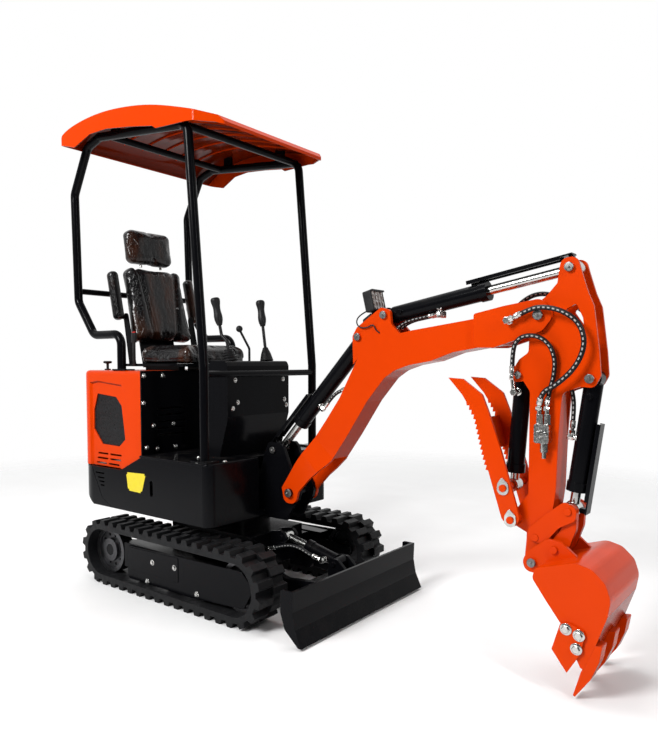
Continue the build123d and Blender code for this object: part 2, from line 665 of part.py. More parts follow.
def make_seat():
    base = block(-620, -110, -228, 228, SEAT_Z, SEAT_Z + 15)
    rails = [block(-500, BULK_X - 10, y - 20, y + 20, BONNET_TOP, SEAT_Z + 1) for y in (-150, 150)]
    ears = []
    for y in (-1, 1):
        y0, y1 = sorted((y * 228, y * 233))
        ears.append(slab([(-560, SEAT_Z), (-612, 1440, 20), (-570, 1440, 20), (-500, SEAT_Z)], y0, y1))
        p0, p1 = sorted((y * 229, y * 300))
        ears.append(pin((-592, 1415), 9, p0, p1))
    back_at = Pos(-612, 0, 1494) * Rot(0, -13, 0)
    spine = back_at * block(-BACK_T / 2 - 12, -BACK_T / 2, -120, 120, -352, 190)
    save("seat_frame", fuse([base] + rails + ears + [spine]) - block(-800, 0, -300, 300, 1000, BONNET_TOP))
    save("seat_cushion", Pos(-295, 0, 1205) * pad(2 * SEAT_HALF, 410, 90, 34))
    back = back_at * pad(2 * SEAT_HALF - 14, BACK_T, 452, 36)
    head = Pos(-690, 0, 1830) * Rot(0, -8, 0) * pad(HEAD_W, 84, 206, 34)
    stems = [back_at * post(0, y, 8, 180, 280) for y in (-70, 70)]
    save("seat_back", back)
    save("headrest", head)
    save("headrest_stems", *[(s - back) - head for s in stems])
    for y, label in ((1, "left"), (-1, "right")):
        rest = Pos(-628, y * 268, 1536) * Rot(0, -13, 0) * pad(58, 66, 290, 26)
        rest = rest - pin((-592, 1415), 9 + PIN_CLEAR, -320, 320)
        save(f"armrest_{label}", rest)


# Boom, arm, links, bucket and thumb


def make_boom():
    outline = [(431, 560), (524, 696), (609, 798), (691, 904), (766, 1006), (862, 1178, 60), (899, 1231, 60),
               (990, 1274, 80), (1149, 1303), (1432, 1340), (1560, 1372), (1560, 1236), (1456, 1228),
               (1333, 1208),
               (1235, 1174), (1129, 1156, 80), (1061, 1134, 80), (1008, 1100, 80), (918, 996), (810, 836),
               (717, 709),
               (603, 617), (535, 548, 40), (518, 487, 40), (446, 487, 36)]
    lean = math.degrees(math.atan2(0.66, 0.751))
    leg = Pos(BOOM_FOOT[0], 0, BOOM_FOOT[1]) * Rot(0, lean, 0)
    box_half = leg * Pos(0, 0, 300 + 1500) * Box(4000, 400, 3000)
    inner = offset(Face(ring(outline, -BOX_OUT)), -PLATE_T, kind=Kind.INTERSECTION)
    cavity = extrude(inner, amount=2 * (BOX_OUT - PLATE_T), dir=(0, 1, 0))
    cavity = Pos(0, PLATE_T, 0) * cavity
    cavity = cavity & (leg * Pos(0, 0, 312 + 1500) * Box(4000, 400, 3000))
    beam = (slab(outline, -BOX_OUT, BOX_OUT) & box_half) - cavity
    feet = []
    for y in (-1, 1):
        bend = [(-120, y * FOOT_IN), (200, y * FOOT_IN), (301, y * (BOX_OUT - PLATE_T)), (301, y * BOX_OUT),
                (200, y * FOOT_OUT), (-120, y * FOOT_OUT)]
        strip = Face(Wire.make_polygon([Vector(-400, b, a) for a, b in bend], close=True))
        strip = leg * extrude(strip, amount=800, dir=(1, 0, 0))
        feet.append(slab(outline, -200, 200) & strip)
    lug = [(842, 1160), (838, 1285, 20), (862, 1323, 20), (917, 1359), (989, 1406, 20), (1036, 1393, 20),
           (1042, 1332, 20), (1090, 1285), (990, 1262), (899, 1218)]
    lugs = pair(lug, BOX_OUT - PLATE_T - 4, BOX_OUT)
    fork = pair([(1432, 1226, 10), (1432, 1358, 10), (1557, 1383), (1702, 1404, 40), (1752, 1343, 40),
                 (1706, 1284, 40), (1516, 1225)], BOX_OUT, BOX_OUT + FORK_T)
    pins = [pin(ARM_PIVOT, ARM_PIN_R, -BOX_OUT - FORK_T - 10, BOX_OUT + FORK_T + 10)]
    for at in (BOOM_CYL, ARM_CYL_BASE):
        pins.append(pin(at, CYL_PIN_R, -BOX_OUT - 8, BOX_OUT + 8))
    boom = fuse([beam] + feet + lugs + fork + pins)
    boom = boom - pin(BOOM_FOOT, FOOT_PIN_R + PIN_CLEAR, -200, 200)
    save("boom", boom)
    strap = slab([(895, 1330), (895, 1356), (935, 1382), (935, 1356)], -BOX_OUT, BOX_OUT)
    case = fillet(Box(46, LAMP_W, LAMP_H).edges(), 6)
    hood = block(18, 32, -LAMP_W / 2 + 4, LAMP_W / 2 - 4, LAMP_H / 2 - 7, LAMP_H / 2)
    glass = block(20, 40, -LAMP_W / 2 + 7, LAMP_W / 2 - 7, -LAMP_H / 2 + 7, LAMP_H / 2 - 7)
    lamp = Pos(915, 0, 1437) * Rot(0, -14, 0) * ((case + hood) - glass) + block(909, 927, -12, 12, 1355, 1400)
    save("work_lamp", (lamp + strap) - boom)


def make_arm():
    outline = [(1650, 1260), (1640, 1343, 40), (1681, 1387, 30), (1715, 1415), (1752, 1457), (1757, 1500),
               (1765, 1545, 30), (1822, 1549, 30), (1836, 1500), (1861, 1421), (1883, 1369), (1905, 1204),
               (1912, 1120, 30), (1890, 1078, 26), (1842, 1081), (1777, 1058, 30), (1766, 900), (1760, 700),
               (1740, 540), (1731, 470), (1730, 423, 38), (1688, 381, 38), (1646, 423, 38), (1652, 500),
               (1656, 700),
               (1656, 1060, 30), (1630, 1098), (1590, 1092, 20), (1580, 1128, 20), (1612, 1180, 30),
               (1648, 1206, 20)]
    window = [(1822, 1380, 8), (1846, 1328), (1856, 1254, 8), (1782, 1358, 8)]
    side = [p - slab(window, -100, 100) for p in pair(outline, ARM_HALF - ARM_PLATE, ARM_HALF)]
    column = [(1656, 470), (1656, 1240), (1670, 1290), (1766, 1290), (1766, 900), (1760, 700), (1740, 540),
              (1731, 470)]
    core = slab(column, -ARM_HALF + 2, ARM_HALF - 2)
    hollow = [(1668, 560), (1668, 1238), (1678, 1278), (1754, 1278), (1754, 900), (1748, 700), (1730, 560)]
    core = core - slab(hollow, -ARM_HALF + ARM_PLATE, ARM_HALF - ARM_PLATE)
    hub = pin(ARM_PIVOT, 46, -ARM_HALF, ARM_HALF)
    heel = pin(BUCKET_PIVOT, 38, -ARM_HALF, ARM_HALF)
    tubes = [pin(THUMB_PIVOT, 27, -THUMB_IN + 2, THUMB_IN - 2)]
    bracket = pair([(1604, 546), (1584, 574, 12), (1604, 600), (1662, 680), (1662, 520)], 44, 55)
    pins = []
    for y in (-1, 1):
        pins.append(pin(ARM_CYL_EYE, CYL_PIN_R, *sorted((y * (EYE_HALF + 5), y * (ARM_HALF + 10)))))
    pins.append(pin(BUCKET_CYL_BASE, CYL_PIN_R, -ARM_HALF - 10, ARM_HALF + 10))
    pins.append(pin(THUMB_CYL_BASE, LINK_PIN_R, -ARM_HALF - 10, ARM_HALF + 10))
    pins.append(pin(ROCKER_PIVOT, LINK_PIN_R, -ROCKER_IN - ROCKER_T - 3, ROCKER_IN + ROCKER_T + 3))
    pins.append(pin(THUMB_PIVOT, LINK_PIN_R, -THUMB_IN - THUMB_T - 10, THUMB_IN + THUMB_T + 10))
    arm = fuse(side + [core, hub, heel] + tubes + bracket + pins)
    arm = arm - pin(ARM_PIVOT, ARM_PIN_R + PIN_CLEAR, -200, 200)
    save("arm", arm - pin(BUCKET_PIVOT, CYL_PIN_R + PIN_CLEAR, -200, 200))
    face = -ARM_HALF
    valve = block(1688, 1744, face - 40, face, 872, 942)
    valve = fillet(valve.edges().filter_by(Axis.Y), 8)
    for x in (1702, 1731):
        valve = valve + Pos(x, face - 22, 960) * extrude(RegularPolygon(13, 6), amount=18, both=True)
        valve = valve + post(x, face - 22, 9, 970, 992)
    valve = valve + post(1722, face - 22, 15, 838, 880) + post(1722, face - 22, 9, 815, 840)
    valve = valve + pin((1706, 905), 12, face - 54, face - 30) + pin((1730, 905), 9, face - 50, face - 30)
    save("thumb_valve", valve)


def make_links():
    h, e = ROCKER_PIVOT, ROCKER_END
    bow = [(h[0] - 32, h[1] - 10, 24), (h[0] - 26, h[1] + 32, 24), (1728, 606, 30), (1796, 662, 24),
           (1842, 640, 24),
           (1838, 596, 24), (1776, 560, 40), (1722, 490, 24)]
    plates = pair(bow, ROCKER_IN, ROCKER_IN + ROCKER_T)
    plates = [p - pin(h, LINK_PIN_R + PIN_CLEAR, -200, 200) for p in plates]
    pins = []
    for y in (-1, 1):
        y0, y1 = sorted((y * (EYE_HALF + 4), y * (ROCKER_IN + ROCKER_T + 6)))
        pins.append(pin(e, LINK_PIN_R, y0, y1))
    save("rocker", fuse(plates + pins))
    low = LINK_END
    link = [(e[0] - 20, e[1] + 26, 22), (e[0] + 30, e[1] + 18, 22), (1836, 560, 60), (1808, 480, 30),
            (low[0] + 14, low[1] - 32, 24), (low[0] - 30, low[1] - 16, 22), (low[0] - 22, low[1] + 26, 22),
            (1784, 556, 60)]
    arms = pair(link, EYE_HALF + 6, ROCKER_IN - 4)
    eye = pin(LINK_END, LINK_PIN_R + 12, -ROCKER_IN + 4, ROCKER_IN - 4)
    link_body = fuse(arms + [eye]) - pin(e, LINK_PIN_R + PIN_CLEAR, -200, 200)
    save("bucket_link", link_body)


def make_bucket():
    out = [(1740, 436), (1826, 463), (1878, 480, 60), (1935, 466, 50), (1980, 425, 50), (1998, 370, 60),
           (1988, 312, 60),
           (1953, 210), (1913, 112)]
    back = [(1902, 117), (1941, 214), (1976, 315, 60), (1986, 369, 60), (1970, 419, 40), (1929, 455, 40),
            (1879, 468, 50),
            (1830, 452), (1744, 425)]
    wrap = slab(out + back, -BUCKET_W / 2 + 2, BUCKET_W / 2 - 2)
    cheek = out + [(1902, 117), (1832, 256), (1779, 325), (1727, 397, 22), (1736, 434, 8)]
    cheeks = pair(cheek, BUCKET_W / 2 - BUCKET_T, BUCKET_W / 2)
    ear = [(1650, 423, 34), (1668, 462, 34), (1742, 520, 30), (1796, 516, 30), (1850, 472), (1832, 446),
           (1748, 420),
           (1712, 384, 30), (1662, 386, 30)]
    ears = pair(ear, EAR_IN, EAR_IN + EAR_T)
    pins = [pin(BUCKET_PIVOT, CYL_PIN_R, -EAR_IN - EAR_T - 10, EAR_IN + EAR_T + 10)]
    for y in (-1, 1):
        y0, y1 = sorted((y * (ROCKER_IN + 2), y * (EAR_IN + EAR_T + 10)))
        pins.append(pin(LINK_END, LINK_PIN_R, y0, y1))
    bucket = fuse([wrap] + cheeks + ears + pins)
    save("bucket", bucket)
    tooth = [(1879, 13), (1886, 10), (1938, 85), (1964, 150), (1974, 209, 4), (1950, 206), (1905, 104)]
    wear = []
    for i in range(TOOTH_COUNT):
        y = -BUCKET_W / 2 + TOOTH_W / 2 + i * (BUCKET_W - TOOTH_W) / (TOOTH_COUNT - 1)
        wear.append(slab(tooth, y - TOOTH_W / 2, y + TOOTH_W / 2) - bucket)
    cutter = [(1833, 258), (1861, 268, 12), (1915, 250, 12), (1919, 237, 8), (1904, 167, 6), (1859, 91),
              (1805, 162)]
    wear.extend(pair(cutter, BUCKET_W / 2, BUCKET_W / 2 + CUTTER_T))
    save("bucket_edge", *wear)


def saw(line, count, depth):
    """Saw teeth along a bent line, standing out to its left by the depth and as deep behind it."""
    spans = [dist(a, b) for a, b in zip(line, line[1:])]
    pitch = sum(spans) / count

    def spot(s, out):
        i = 0
        while i < len(spans) - 1 and s > spans[i]:
            s -= spans[i]
            i += 1
        a, b = line[i], line[i + 1]
        ux, uz = (b[0] - a[0]) / spans[i], (b[1] - a[1]) / spans[i]
        return (a[0] + ux * s - uz * out, a[1] + uz * s + ux * out)

    points = []
    for i in range(count):
        points.append(spot(i * pitch, -depth))
        points.append(spot((i + 0.25) * pitch, depth))
    return points


def make_thumb():
    teeth = saw([(1510, 752), (1489, 818), (1455, 951), (1419, 1016)], THUMB_TEETH, THUMB_TOOTH)
    outline = [(1341, 1108), (1403, 1104), (1486, 1045, 20), (1514, 978), (1569, 824), (1631, 626),
               (1644, 577, 30),
               (1611, 534, 30), (1572, 575, 30)] + teeth + [(1419, 1016), (1401, 1043, 8)]
    plates = pair(outline, THUMB_IN, THUMB_IN + THUMB_T)
    plates = [p - pin(THUMB_PIVOT, LINK_PIN_R + PIN_CLEAR, -200, 200) for p in plates]
    cross = slab([(1492, 825), (1506, 829), (1469, 952), (1455, 948)], -THUMB_IN - 2, THUMB_IN + 2)
    pins = []
    for y in (-1, 1):
        y0, y1 = sorted((y * (EYE_HALF + 5), y * (THUMB_IN + THUMB_T + 10)))
        pins.append(pin(THUMB_CYL_EYE, LINK_PIN_R, y0, y1))
    save("thumb", fuse(plates + [cross] + pins))
    washers = []
    for x, z in (THUMB_CYL_EYE, THUMB_PIVOT):
        drop = [(x - 26, z - 26, 22), (x + 26, z - 26, 22), (x + 20, z + 20, 14), (x - 6, z + 42, 6),
                (x - 22, z + 16, 14)]
        for w in pair(drop, THUMB_IN + THUMB_T, THUMB_IN + THUMB_T + WASHER_T):
            washers.append(w - pin((x, z), LINK_PIN_R + PIN_CLEAR, -200, 200))
    save("thumb_pin_plates", *washers)


make_undercarriage()
make_blade()
make_cylinders()
make_house()
make_controls()
make_roof(make_canopy())
make_seat()
make_boom()
make_arm()
make_links()
make_bucket()
make_thumb()
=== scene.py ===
"""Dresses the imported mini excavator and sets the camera, light and floor. Metres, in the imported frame."""
import math

import bmesh
import bpy
from mathutils import Matrix, Vector


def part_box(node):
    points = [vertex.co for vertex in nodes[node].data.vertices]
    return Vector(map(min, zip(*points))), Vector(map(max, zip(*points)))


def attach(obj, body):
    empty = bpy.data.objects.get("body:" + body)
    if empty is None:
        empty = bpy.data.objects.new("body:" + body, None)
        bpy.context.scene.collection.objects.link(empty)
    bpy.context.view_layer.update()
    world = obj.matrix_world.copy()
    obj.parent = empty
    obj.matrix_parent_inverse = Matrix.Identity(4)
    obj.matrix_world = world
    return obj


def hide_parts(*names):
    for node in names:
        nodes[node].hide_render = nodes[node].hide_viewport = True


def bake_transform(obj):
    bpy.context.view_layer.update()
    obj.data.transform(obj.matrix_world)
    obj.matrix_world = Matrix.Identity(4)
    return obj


# Camera, from the photograph's perspective
IMAGE = (658, 735)
EYE = (2.61393, -2.52016, 1.17232)
YAW = 37.80
PITCH = -3.07
FOCAL_PX = 676.09
CENTRE_ROW = 397.66
SENSOR = 36.0
VIEW_LIMIT = 200.0

# Colours, linear
ORANGE = (0.63, 0.043, 0.0006)
ORANGE_WORN = (0.42, 0.030, 0.004)
BLACK = (0.0028, 0.0029, 0.0038)
BLACK_WORN = (0.03, 0.03, 0.033)
DUST = (0.35, 0.31, 0.27)
RUBBER = (0.0060, 0.0062, 0.0070)
RUBBER_DUST = (0.05, 0.05, 0.052)
RUBBER_WORN = (0.035, 0.036, 0.039)
VINYL = (0.0045, 0.0042, 0.0048)
# The seat's brown fold tint is a painted reflection.
VINYL_FOLD_REFLECTION = (0.034, 0.012, 0.006)
HOSE_LINE = (0.45, 0.45, 0.44)

# Stage: the floor fades out between two distances, and the world brightens between
# two cosines of the angle from BRIGHT_WAY
FLOOR_HALF = 60.0
FLOOR_DROP = 0.0005
FADE = (2.6, 5.5)
BRIGHT_WAY = (-0.62, 0.78, 0.10)
WORLD_TURN = (-0.55, 0.50)
WORLD_LIGHT = (0.05, 1.0)

# Lamps: place, aim, size, watts
LAMPS = {
    "key": ((-0.4, -5.2, 4.4), (0.6, 0.0, 0.9), (2.2, 2.2), 400.0),
    "top": ((-0.4, 0.4, 6.5), (0.4, 0.0, 0.8), (3.0, 3.0), 160.0),
    "strip": ((3.6, -0.9, 2.3), (0.2, -0.2, 1.0), (0.25, 2.4), 26.0),
}

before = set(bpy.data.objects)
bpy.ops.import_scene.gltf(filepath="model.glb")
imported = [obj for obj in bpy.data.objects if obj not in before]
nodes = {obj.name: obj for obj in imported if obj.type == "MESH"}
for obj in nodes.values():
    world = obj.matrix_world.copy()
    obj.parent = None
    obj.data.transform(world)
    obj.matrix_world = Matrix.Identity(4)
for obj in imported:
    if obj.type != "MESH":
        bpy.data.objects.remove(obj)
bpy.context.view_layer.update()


# Node graph helpers


def add(tree, kind, **values):
    """A new shader node, with its sockets set by name."""
    node = tree.nodes.new("ShaderNode" + kind)
    for name, value in values.items():
        node.inputs[name.replace("_", " ")].default_value = value
    return node


class Graph:
    """One material's nodes, added by short calls."""

    EDGE_RADIUS = 0.005
    BEVEL_SAMPLES = 4

    def __init__(self, name):
        self.material = bpy.data.materials.new(name)
        self.material.use_nodes = True
        self.tree = self.material.node_tree
        self.shader = self.tree.nodes["Principled BSDF"]
        coord = add(self.tree, "TexCoord")
        self.place = coord.outputs["Object"]
        self.unrolled = coord.outputs["UV"]

    def link(self, a, b):
        self.tree.links.new(a, b)

    def noise(self, scale, detail=3.0, rough=0.5, stretch=(1.0, 1.0, 1.0)):
        n = add(self.tree, "TexNoise", Scale=scale, Detail=detail, Roughness=rough)
        m = add(self.tree, "Mapping", Scale=stretch)
        self.link(self.place, m.inputs["Vector"])
        self.link(m.outputs["Vector"], n.inputs["Vector"])
        return n.outputs["Fac"]

    def cells(self, scale):
        n = add(self.tree, "TexVoronoi", Scale=scale)
        self.link(self.place, n.inputs["Vector"])
        return n.outputs["Distance"]

    def span(self, value, a, b, low, high):
        """Maps a to low and b to high."""
        n = add(self.tree, "MapRange", From_Min=a, From_Max=b, To_Min=low, To_Max=high)
        self.link(value, n.inputs["Value"])
        return n.outputs["Result"]

    def patches(self, scale, detail, low=0.0, high=1.0):
        """Noise that wanders from low to high."""
        return self.span(self.noise(scale, detail), 0.3, 0.7, low, high)

    def math(self, kind, a, b=0.0):
        n = add(self.tree, "Math")
        n.operation = kind
        for socket, value in zip(n.inputs, (a, b)):
            if isinstance(value, (int, float)):
                socket.default_value = value
            else:
                self.link(value, socket)
        return n.outputs["Value"]

    def mix(self, factor, a, b):
        n = add(self.tree, "Mix")
        n.data_type = "RGBA"
        self.link(factor, n.inputs[0])
        for socket, value in ((n.inputs[6], a), (n.inputs[7], b)):
            if isinstance(value, tuple):
                socket.default_value = (*value, 1.0)
            else:
                self.link(value, socket)
        return n.outputs[2]

    def rounded(self, radius):
        """Normal with the edges rounded off."""
        n = add(self.tree, "Bevel", Radius=radius)
        n.samples = self.BEVEL_SAMPLES
        return n.outputs["Normal"]

    def edges(self):
        """1 along edges, 0 on flats: how far a rounded normal turns from the true one."""
        true = add(self.tree, "NewGeometry")
        dot = add(self.tree, "VectorMath")
        dot.operation = "DOT_PRODUCT"
        self.link(true.outputs["Normal"], dot.inputs[0])
        self.link(self.rounded(self.EDGE_RADIUS), dot.inputs[1])
        return self.span(dot.outputs["Value"], 0.99, 0.85, 0.0, 1.0)

    def facing(self, normal, a, b):
        """0 where a normal's height is a, 1 where it is b."""
        n = add(self.tree, "NewGeometry")
        s = add(self.tree, "SeparateXYZ")
        self.link(n.outputs[normal], s.inputs[0])
        return self.span(s.outputs["Z"], a, b, 0.0, 1.0)

    def upward(self):
        return self.facing("Normal", 0.2, 1.0)

    def downward(self):
        return self.facing("True Normal", -0.12, -0.3)

    def bump(self, height, strength, distance, radius=0.0):
        n = add(self.tree, "Bump", Strength=strength, Distance=distance)
        self.link(height, n.inputs["Height"])
        if radius:
            self.link(self.rounded(radius), n.inputs["Normal"])
        self.link(n.outputs["Normal"], self.shader.inputs["Normal"])

    def set(self, **values):
        for name, value in values.items():
            socket = self.shader.inputs[name.replace("_", " ")]
            if isinstance(value, tuple):
                socket.default_value = (*value, 1.0)
            elif isinstance(value, (int, float)):
                socket.default_value = value
            else:
                self.link(value, socket)
        return self.material


# Materials


def shade(colour, share):
    return tuple(c * share for c in colour)


def paint(name, colour, worn, dust, rough, under=1.0):
    """Sprayed enamel: slight mottling, orange peel, dust on upward faces and scuffed edges.

    under is how much of the colour is left on faces that look down, as painted shade.
    """
    g = Graph(name)
    tone = g.mix(g.patches(4.0, 3.0), shade(colour, 0.95), colour)
    # Painted shade: faces that look down keep only the share under of the colour.
    tone = g.mix(g.downward(), tone, shade(colour, under))
    scuff = g.math("MULTIPLY", g.edges(), g.span(g.noise(60.0, 5.0), 0.45, 0.7, 0.0, 0.5))
    tone = g.mix(scuff, tone, worn)
    film = g.math("MULTIPLY", g.upward(), g.span(g.noise(14.0, 6.0, 0.65), 0.45, 0.8, 0.0, dust))
    tone = g.mix(film, tone, DUST)
    g.bump(g.noise(160.0, 2.0), 0.035, 0.0012, 0.0025)
    shine = g.math("ADD", g.span(g.noise(9.0, 4.0), 0.3, 0.75, rough, rough + 0.05), film)
    return g.set(Base_Color=tone, Roughness=shine, Specular_IOR_Level=0.07)


def rubber():
    """Moulded rubber, matt and dusty, with fine grain."""
    g = Graph("track_rubber")
    dust = g.math("MULTIPLY", g.upward(), g.span(g.noise(30.0, 6.0, 0.7), 0.35, 0.8, 0.0, 0.28))
    scuff = g.math("MULTIPLY", g.edges(), g.span(g.noise(45.0, 4.0), 0.4, 0.7, 0.1, 0.5))
    tone = g.mix(scuff, g.mix(dust, RUBBER, RUBBER_DUST), RUBBER_WORN)
    g.bump(g.noise(700.0, 3.0), 0.25, 0.001, 0.004)
    return g.set(Base_Color=tone, Roughness=g.patches(40.0, 4.0, 0.36, 0.6), Specular_IOR_Level=0.15)


def vinyl():
    """Black grained vinyl under thin creased film, so its gloss is uneven; the brown along its folds is a painted
    reflection.
    """
    g = Graph("seat_vinyl")
    grain = g.math("MULTIPLY", g.cells(650.0), 0.05)
    folds = g.noise(9.0, 3.0, 0.5, (1.0, 1.0, 0.22))
    ridge = g.math("ABSOLUTE", g.math("SUBTRACT", g.noise(26.0, 4.0, 0.6, (1.0, 1.0, 0.5)), 0.5))
    crease = g.math("MULTIPLY", ridge, 2.2)
    # Painted reflection: brown streaked along the folds.
    tone = g.mix(g.span(folds, 0.48, 0.62, 0.0, 1.0), VINYL, VINYL_FOLD_REFLECTION)
    g.bump(g.math("ADD", grain, g.math("SUBTRACT", folds, crease)), 0.6, 0.012)
    shine = g.span(g.noise(28.0, 5.0, 0.7), 0.35, 0.7, 0.10, 0.34)
    return g.set(Base_Color=tone, Roughness=shine, Specular_IOR_Level=0.12, Coat_Weight=0.50, Coat_Roughness=0.06)


def moulded(name, dark, light):
    """Textured plastic."""
    g = Graph(name)
    tone = g.mix(g.patches(20.0, 4.0), dark, light)
    g.bump(g.noise(900.0, 2.0), 0.18, 0.0008, 0.002)
    return g.set(Base_Color=tone, Roughness=g.patches(35.0, 4.0, 0.36, 0.55), Specular_IOR_Level=0.25)


def steel(name, colour, rough, spread):
    """Bare or plated steel with fine scratches."""
    g = Graph(name)
    tone = g.mix(g.span(g.noise(50.0, 5.0), 0.3, 0.75, 0.0, 1.0), colour, shade(colour, 0.7))
    g.bump(g.noise(1200.0, 2.0), 0.08, 0.0004, 0.001)
    return g.set(Base_Color=tone, Metallic=1.0, Roughness=g.patches(120.0, 5.0, rough, rough + spread))


def mesh_screen():
    """Perforated black sheet, its holes painted near black as painted shade seen through them."""
    g = Graph("perforated_screen")
    holes = g.span(g.cells(115.0), 0.30, 0.42, 0.0, 1.0)
    # Painted shade: the holes are near black.
    tone = g.mix(holes, (0.001, 0.001, 0.001), (0.014, 0.014, 0.015))
    g.bump(holes, 0.8, 0.002)
    return g.set(Base_Color=tone, Roughness=g.patches(30.0, 3.0, 0.25, 0.45), Specular_IOR_Level=0.10)


def decal():
    """Plain yellow vinyl sticker with dirty patches."""
    g = Graph("plain_decal")
    dirt = g.span(g.noise(60.0, 5.0), 0.45, 0.8, 0.0, 0.5)
    tone = g.mix(dirt, (0.70, 0.56, 0.006), (0.55, 0.43, 0.015))
    g.bump(g.noise(120.0, 2.0), 0.1, 0.0008)
    return g.set(Base_Color=tone, Roughness=g.patches(40.0, 3.0, 0.28, 0.5))


def lens():
    """Lamp cover over a reflector, as one glossy coat, with the reflector's shine painted in: pale cup centres
    and dark reddish rims are a painted reflection.
    """
    g = Graph("lamp_lens")
    cups = g.span(g.cells(55.0), 0.1, 0.5, 0.0, 1.0)
    # Painted reflection: pale in the cups' middles, dark red-brown at their rims.
    tone = g.mix(cups, (0.55, 0.50, 0.45), (0.10, 0.055, 0.04))
    g.bump(cups, 0.5, 0.004)
    return g.set(Base_Color=tone, Roughness=g.patches(80.0, 2.0, 0.08, 0.2), Coat_Weight=1.0)


def hose_skin():
    """Black hose cover with fine weave and a broken pale line half way round it."""
    g = Graph("hose_skin")
    split = add(g.tree, "SeparateXYZ")
    g.link(g.unrolled, split.inputs[0])
    dash = g.span(g.math("PINGPONG", split.outputs["X"], 0.009), 0.0040, 0.0046, 0.0, 0.8)
    stripe = g.math("ABSOLUTE", g.math("SUBTRACT", split.outputs["Y"], 0.5))
    mark = g.math("MULTIPLY", dash, g.span(stripe, 0.035, 0.05, 1.0, 0.0))
    tone = g.mix(g.patches(40.0, 4.0), (0.004, 0.004, 0.005), (0.009, 0.009, 0.010))
    tone = g.mix(mark, tone, HOSE_LINE)
    g.bump(g.noise(1100.0, 2.0), 0.3, 0.0012)
    return g.set(Base_Color=tone, Roughness=g.patches(60.0, 4.0, 0.32, 0.5), Specular_IOR_Level=0.2)


def ground():
    """Pale studio floor with a faint mottle, fading into the background far from the machine."""
    g = Graph("studio_floor")
    tone = g.mix(g.patches(3.0, 4.0), (0.84, 0.84, 0.84), (0.87, 0.87, 0.87))
    g.set(Base_Color=tone, Roughness=0.75, Specular_IOR_Level=0.1)
    far = add(g.tree, "VectorMath")
    far.operation = "LENGTH"
    g.link(g.place, far.inputs[0])
    clear = add(g.tree, "BsdfTransparent")
    mixed = add(g.tree, "MixShader")
    g.link(g.span(far.outputs["Value"], *FADE, 0.0, 1.0), mixed.inputs[0])
    g.link(g.shader.outputs[0], mixed.inputs[1])
    g.link(clear.outputs[0], mixed.inputs[2])
    g.link(mixed.outputs[0], g.tree.nodes["Material Output"].inputs["Surface"])
    return g.material


# The last number of each paint is the share of colour left on downward faces, a painted shade; the roof's copy is
# darker underneath.
ORANGE_PAINT = paint("orange_paint", ORANGE, ORANGE_WORN, 0.03, 0.20, 0.45)
ROOF_PAINT = paint("roof_paint", ORANGE, ORANGE_WORN, 0.03, 0.12, 0.16)
BLACK_PAINT = paint("black_paint", BLACK, BLACK_WORN, 0.05, 0.16)
RUBBER_MAT = rubber()
VINYL_MAT = vinyl()
PLASTIC = moulded("black_plastic", (0.006, 0.006, 0.0065), (0.011, 0.011, 0.012))
RELEASE = moulded("red_plastic", (0.42, 0.012, 0.010), (0.50, 0.016, 0.012))
STEEL = steel("bright_steel", (0.62, 0.62, 0.60), 0.14, 0.16)
PIN_STEEL = steel("pin_steel", (0.24, 0.24, 0.235), 0.26, 0.2)
DARK_STEEL = steel("worn_steel", (0.10, 0.10, 0.105), 0.32, 0.22)
SCREEN = mesh_screen()
DECAL = decal()
LENS = lens()
HOSE = hose_skin()

FINISH = {
    ROOF_PAINT: ("roof",),
    ORANGE_PAINT: ("bonnet", "boom", "arm", "rocker", "bucket_link", "bucket", "bucket_edge", "thumb"),
    BLACK_PAINT: ("carbody", "track_frame_left", "track_frame_right", "track_cover_left", "track_cover_right",
                  "blade", "blade_cylinder_barrel", "platform", "cowl", "counterweight", "floor", "bulkhead",
                  "console", "front_frame", "rear_frame", "roof_rails", "seat_frame", "boom_cylinder_barrel",
                  "arm_cylinder_barrel", "bucket_cylinder_barrel", "thumb_cylinder_barrel",
                  "boom_cylinder_guard", "arm_cylinder_guard", "bucket_cylinder_guard"),
    RUBBER_MAT: ("track_left", "track_right"),
    VINYL_MAT: ("seat_cushion", "seat_back", "headrest", "armrest_left", "armrest_right"),
    PLASTIC: ("levers", "work_lamp", "bonnet_cap"),
    STEEL: ("headrest_stems", "thumb_valve", "thumb_pin_plates", "boom_cylinder_rod", "arm_cylinder_rod",
            "bucket_cylinder_rod", "thumb_cylinder_rod", "blade_cylinder_rod"),
    DARK_STEEL: ("sprockets", "idlers", "track_rollers", "engine"),
    SCREEN: ("bonnet_screens",),
}


def dress_nodes():
    for material, names in FINISH.items():
        for name in names:
            nodes[name].data.materials.clear()
            nodes[name].data.materials.append(material)


# Stage


def place(name, data):
    """Puts a new object with this data in the scene."""
    obj = bpy.data.objects.new(name, data)
    bpy.context.scene.collection.objects.link(obj)
    return obj


def aim_along(obj, at, way):
    """Moves a camera or lamp and turns it to look along a direction."""
    obj.location = at
    obj.rotation_mode = "QUATERNION"
    obj.rotation_quaternion = Vector(way).to_track_quat("-Z", "Y")


def make_camera():
    a, e = math.radians(YAW), math.radians(PITCH)
    data = bpy.data.cameras.new("photo_camera")
    data.sensor_width = SENSOR
    data.lens = FOCAL_PX / max(IMAGE) * SENSOR
    data.shift_y = (CENTRE_ROW - IMAGE[1] / 2) / max(IMAGE)
    data.clip_end = VIEW_LIMIT
    camera = place("photo_camera", data)
    aim_along(camera, EYE, (-math.sin(a) * math.cos(e), math.cos(a) * math.cos(e), math.sin(e)))
    bpy.context.scene.camera = camera


def area_light(name, at, aim, size, watts):
    data = bpy.data.lights.new(name, "AREA")
    data.shape = "ELLIPSE"
    data.size, data.size_y = size
    data.energy = watts
    aim_along(place(name, data), at, Vector(aim) - Vector(at))


